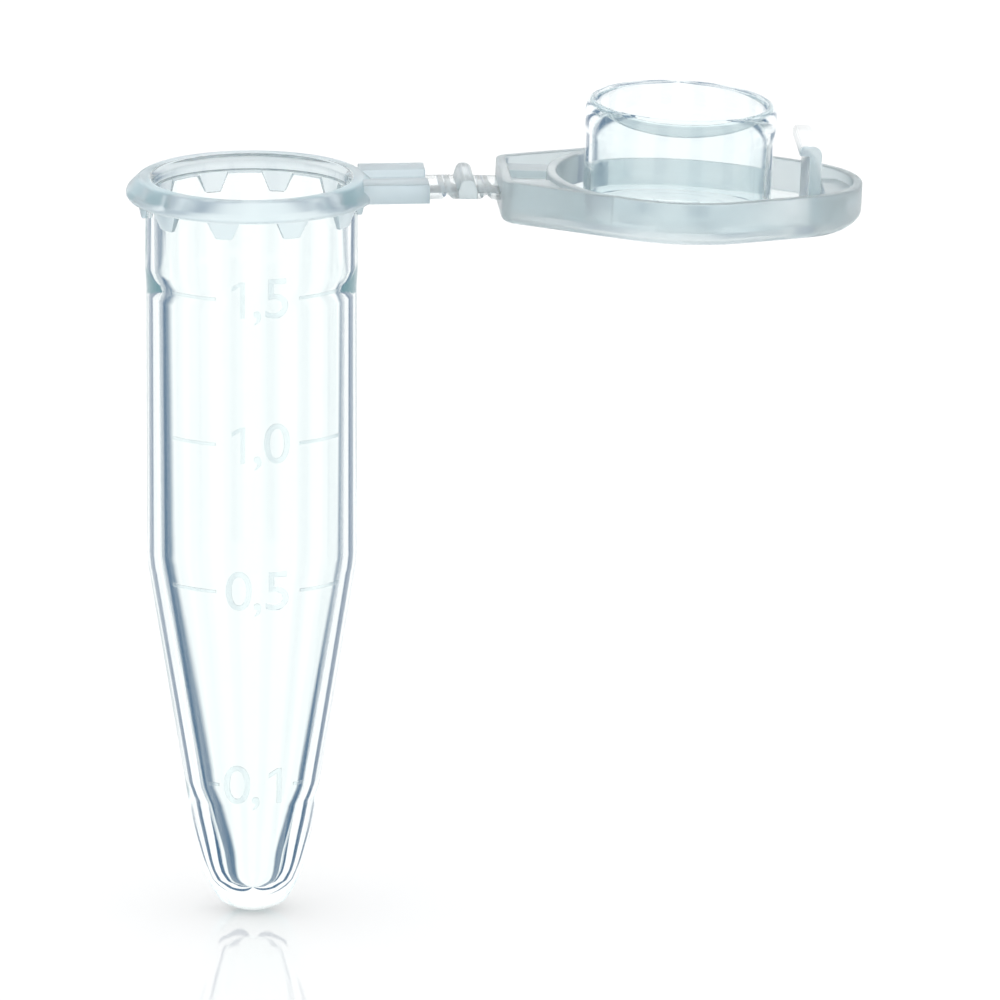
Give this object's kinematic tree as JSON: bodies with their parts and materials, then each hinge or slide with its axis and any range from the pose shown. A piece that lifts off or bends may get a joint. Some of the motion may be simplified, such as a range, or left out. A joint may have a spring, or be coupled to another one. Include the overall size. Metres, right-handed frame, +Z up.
{
  "type": "microcentrifuge tube",
  "caption": "Small clear plastic centrifuge tube with a conical end, volume marks and an attached snap lid on a folding strap, shown open.",
  "frame": {"origin": "centre of the tube's mouth, in the plane of the collar's flat top", "axes": "+Z up along the tube's axis and out of its mouth, +X from the tube along the strap to the open lid, -Y is the side with the volume marks"},
  "size_m": [0.0379, 0.0134, 0.0427],
  "materials": {
    "clear_polypropylene": "clear, glossy natural polypropylene",
    "satin_polypropylene": "milky, fine satin natural polypropylene"
  },
  "bodies": {
    "tube": {"collar_ring": "satin_polypropylene", "collar_teeth": "satin_polypropylene", "seal_neck": "clear_polypropylene", "barrel": "clear_polypropylene", "cone_wall": "clear_polypropylene", "tip": "clear_polypropylene", "strap": "satin_polypropylene", "strap_film": "satin_polypropylene", "digits_1500_ul": "clear_polypropylene", "ring_marks_1500_ul": "clear_polypropylene", "digits_1000_ul": "clear_polypropylene", "ring_marks_1000_ul": "clear_polypropylene", "digits_500_ul": "clear_polypropylene", "ring_marks_500_ul": "clear_polypropylene", "digits_100_ul": "clear_polypropylene", "ring_marks_100_ul": "clear_polypropylene"},
    "knuckle": {"knuckle_film_inner": "satin_polypropylene", "hinge_knuckle": "satin_polypropylene", "knuckle_film_outer": "satin_polypropylene"},
    "lid": {"lid_film": "satin_polypropylene", "lid_tray": "satin_polypropylene", "arm_ring_wall": "satin_polypropylene", "arm_block": "satin_polypropylene", "thumb_block": "satin_polypropylene", "plug_wall": "clear_polypropylene", "sealing_bead": "clear_polypropylene", "plug_floor_steps": "clear_polypropylene"},
    "latch": {"latch_post": "satin_polypropylene", "latch_nose": "satin_polypropylene"}
  },
  "joints": [
    {"name": "strap_fold", "type": "hinge", "parent": "tube", "child": "knuckle", "pos_m": [0.00995, 0, -0.00055], "axis": [0, -1, 0], "range_deg": [-20, 91.45], "stiffness_Nm_per_rad": 0.002, "springref_deg": 0.77},
    {"name": "lid_fold", "type": "hinge", "parent": "knuckle", "child": "lid", "pos_m": [0.01195, 0, -0.0006], "axis": [0, -1, 0], "range_deg": [-20, 91.45], "stiffness_Nm_per_rad": 0.002, "springref_deg": 0.66},
    {"name": "latch_flex", "type": "hinge", "parent": "lid", "child": "latch", "pos_m": [0.02899, 0, -0.00221], "axis": [0, 1, 0], "range_deg": [0, 6], "stiffness_Nm_per_rad": 0.05}
  ]
}
